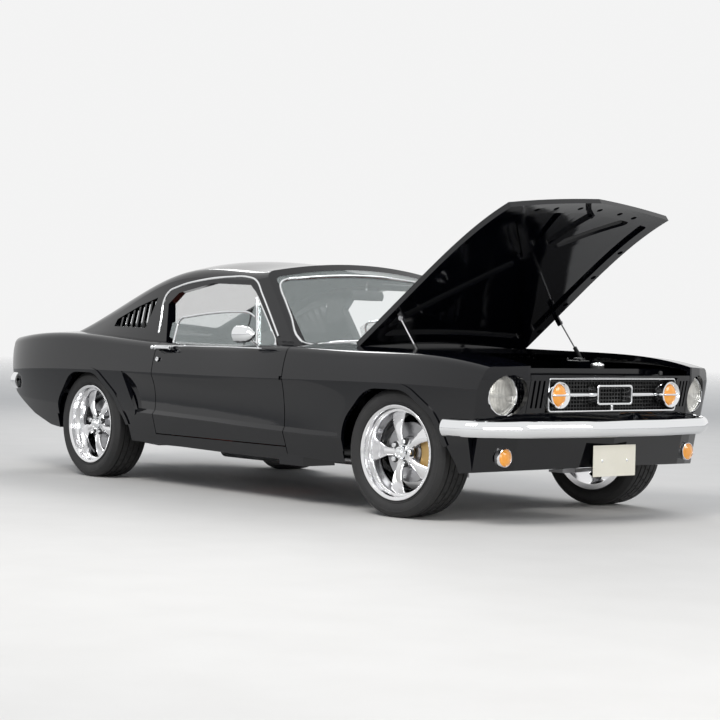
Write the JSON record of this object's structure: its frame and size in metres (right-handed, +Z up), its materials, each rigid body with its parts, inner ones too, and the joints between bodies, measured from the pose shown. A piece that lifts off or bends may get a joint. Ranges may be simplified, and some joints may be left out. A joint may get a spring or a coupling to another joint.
{
  "type": "muscle car",
  "caption": "Mid-1960s style two-door fastback coupe with its hood open on gas struts, five-spoke wheels, chrome bumpers and hinged doors.",
  "frame": {"origin": "on the ground, in the middle of the overall length and width", "axes": "+X forward, +Y to the car's left, +Z up"},
  "size_m": [4.612, 1.904, 1.5801],
  "materials": {
    "paint": "gloss black",
    "chrome": "polished",
    "amber": "clear amber lens",
    "red_lens": "clear red lens",
    "lamp_glass": "clear, ribbed",
    "glass": "clear",
    "steel": "plain",
    "iron": "painted dark",
    "gold_iron": "gold finish",
    "aluminium": "cast",
    "dark_metal": "satin black",
    "black_steel": "satin black",
    "black_plastic": "satin black",
    "dash": "padded, grained",
    "leather": "grained",
    "tyre": "matte",
    "wheel": "polished"
  },
  "bodies": {
    "body": {"body_shell": "paint", "roof": "paint", "quarter_left": "paint", "quarter_right": "paint", "fender_left": "paint", "fender_right": "paint", "front_panel": "paint", "front_bumper": "chrome", "rear_bumper": "chrome", "grille": "chrome", "fog_lamps": "amber", "headlamps": "lamp_glass", "turn_signals": "amber", "tail_lamps": "red_lens", "quarter_louvres": "paint", "windshield": "glass", "rear_window": "glass", "engine_bay": "paint", "floor_pan": "paint", "front_suspension": "steel", "rear_axle": "iron", "leaf_springs": "steel", "gearbox": "aluminium", "driveshaft": "steel", "engine": "iron", "air_cleaner": "chrome", "radiator": "dark_metal", "battery": "black_plastic", "exhaust": "steel", "fuel_tank": "dark_metal", "dashboard": "dash", "seat_left": "leather", "seat_right": "leather", "rear_seat": "leather", "wipers": "chrome"},
    "hood": {"hood": "paint"},
    "trunk_lid": {"trunk_lid": "paint"},
    "door_left": {"door_left": "paint", "door_glass_left": "glass", "mirror_left": "chrome"},
    "door_right": {"door_right": "paint", "door_glass_right": "glass", "mirror_right": "chrome"},
    "steer_left": {"knuckle_left": "gold_iron"},
    "steer_right": {"knuckle_right": "gold_iron"},
    "tie_rod": {"tie_rod": "steel"},
    "steering_wheel": {"steering_wheel": "black_plastic"},
    "wheel_fl": {"tyre_fl": "tyre", "wheel_fl": "wheel"},
    "wheel_fr": {"tyre_fr": "tyre", "wheel_fr": "wheel"},
    "wheel_rl": {"tyre_rl": "tyre", "wheel_rl": "wheel"},
    "wheel_rr": {"tyre_rr": "tyre", "wheel_rr": "wheel"},
    "strut_tube_left": {"strut_tube_left": "black_steel"},
    "strut_tube_right": {"strut_tube_right": "black_steel"},
    "strut_rod_left": {"strut_rod_left": "steel"},
    "strut_rod_right": {"strut_rod_right": "steel"}
  },
  "joints": [
    {"name": "hood_hinge", "type": "hinge", "parent": "body", "child": "hood", "pos_m": [0.945, 0, 0.822], "axis": [0, 1, 0], "range_deg": [0, 36.8]},
    {"name": "trunk_hinge", "type": "hinge", "parent": "body", "child": "trunk_lid", "pos_m": [-1.787, 0, 0.88], "axis": [0, 1, 0], "range_deg": [0, 62]},
    {"name": "door_left_hinge", "type": "hinge", "parent": "body", "child": "door_left", "pos_m": [0.66, 0.862, 0.55], "axis": [0, 0, -1], "range_deg": [0, 65]},
    {"name": "door_right_hinge", "type": "hinge", "parent": "body", "child": "door_right", "pos_m": [0.66, -0.862, 0.55], "axis": [0, 0, 1], "range_deg": [0, 65]},
    {"name": "steer_left_pivot", "type": "hinge", "parent": "body", "child": "steer_left", "pos_m": [1.495, 0.6, 0.317], "axis": [0, 0, 1], "range_deg": [-35.7, 24.3]},
    {"name": "steer_right_pivot", "type": "hinge", "parent": "body", "child": "steer_right", "pos_m": [1.495, -0.6, 0.317], "axis": [0, 0, 1], "range_deg": [-35.7, 24.3]},
    {"name": "tie_rod_slide", "type": "slide", "parent": "body", "child": "tie_rod", "axis": [0, 1, 0], "range_m": [-0.057, 0.083]},
    {"name": "steering_wheel_turn", "type": "hinge", "parent": "body", "child": "steering_wheel", "pos_m": [0.33, 0.365, 0.775], "axis": [-0.9488, 0, 0.3159], "range_deg": [-572.2, 389.8]},
    {"name": "wheel_fl_spin", "type": "hinge", "parent": "steer_left", "child": "wheel_fl", "pos_m": [1.48398, 0.71045, 0.317], "axis": [-0.0993, 0.9951, 0], "continuous": true},
    {"name": "wheel_fr_spin", "type": "hinge", "parent": "steer_right", "child": "wheel_fr", "pos_m": [1.50602, -0.71045, 0.317], "axis": [-0.0993, 0.9951, 0], "continuous": true},
    {"name": "wheel_rl_spin", "type": "hinge", "parent": "body", "child": "wheel_rl", "pos_m": [-1.248, 0.711, 0.317], "axis": [0, 1, 0], "continuous": true},
    {"name": "wheel_rr_spin", "type": "hinge", "parent": "body", "child": "wheel_rr", "pos_m": [-1.248, -0.711, 0.317], "axis": [0, 1, 0], "continuous": true},
    {"name": "strut_left_pivot", "type": "hinge", "parent": "body", "child": "strut_tube_left", "pos_m": [1.505, 0.584, 0.694], "axis": [0, 1, 0], "range_deg": [-36.69, 0]},
    {"name": "strut_left_rod_slide", "type": "slide", "parent": "strut_tube_left", "child": "strut_rod_left", "axis": [-0.6334, 0, 0.7738], "range_m": [-0.1533, 0]},
    {"name": "strut_right_pivot", "type": "hinge", "parent": "body", "child": "strut_tube_right", "pos_m": [1.505, -0.584, 0.694], "axis": [0, 1, 0], "range_deg": [-36.69, 0]},
    {"name": "strut_right_rod_slide", "type": "slide", "parent": "strut_tube_right", "child": "strut_rod_right", "axis": [-0.6334, 0, 0.7738], "range_m": [-0.1533, 0]}
  ],
  "couplings": [
    {"joint": "steer_right_pivot", "follows": "steer_left_pivot", "ratio": 1},
    {"joint": "tie_rod_slide", "follows": "steer_left_pivot", "m_per_rad": -0.12936},
    {"joint": "steering_wheel_turn", "follows": "steer_left_pivot", "ratio": 16},
    {"joint": "strut_left_pivot", "follows": "hood_hinge", "ratio": -0.98334},
    {"joint": "strut_left_rod_slide", "follows": "hood_hinge", "m_per_rad": -0.23711},
    {"joint": "strut_right_pivot", "follows": "hood_hinge", "ratio": -0.98334},
    {"joint": "strut_right_rod_slide", "follows": "hood_hinge", "m_per_rad": -0.23711}
  ]
}
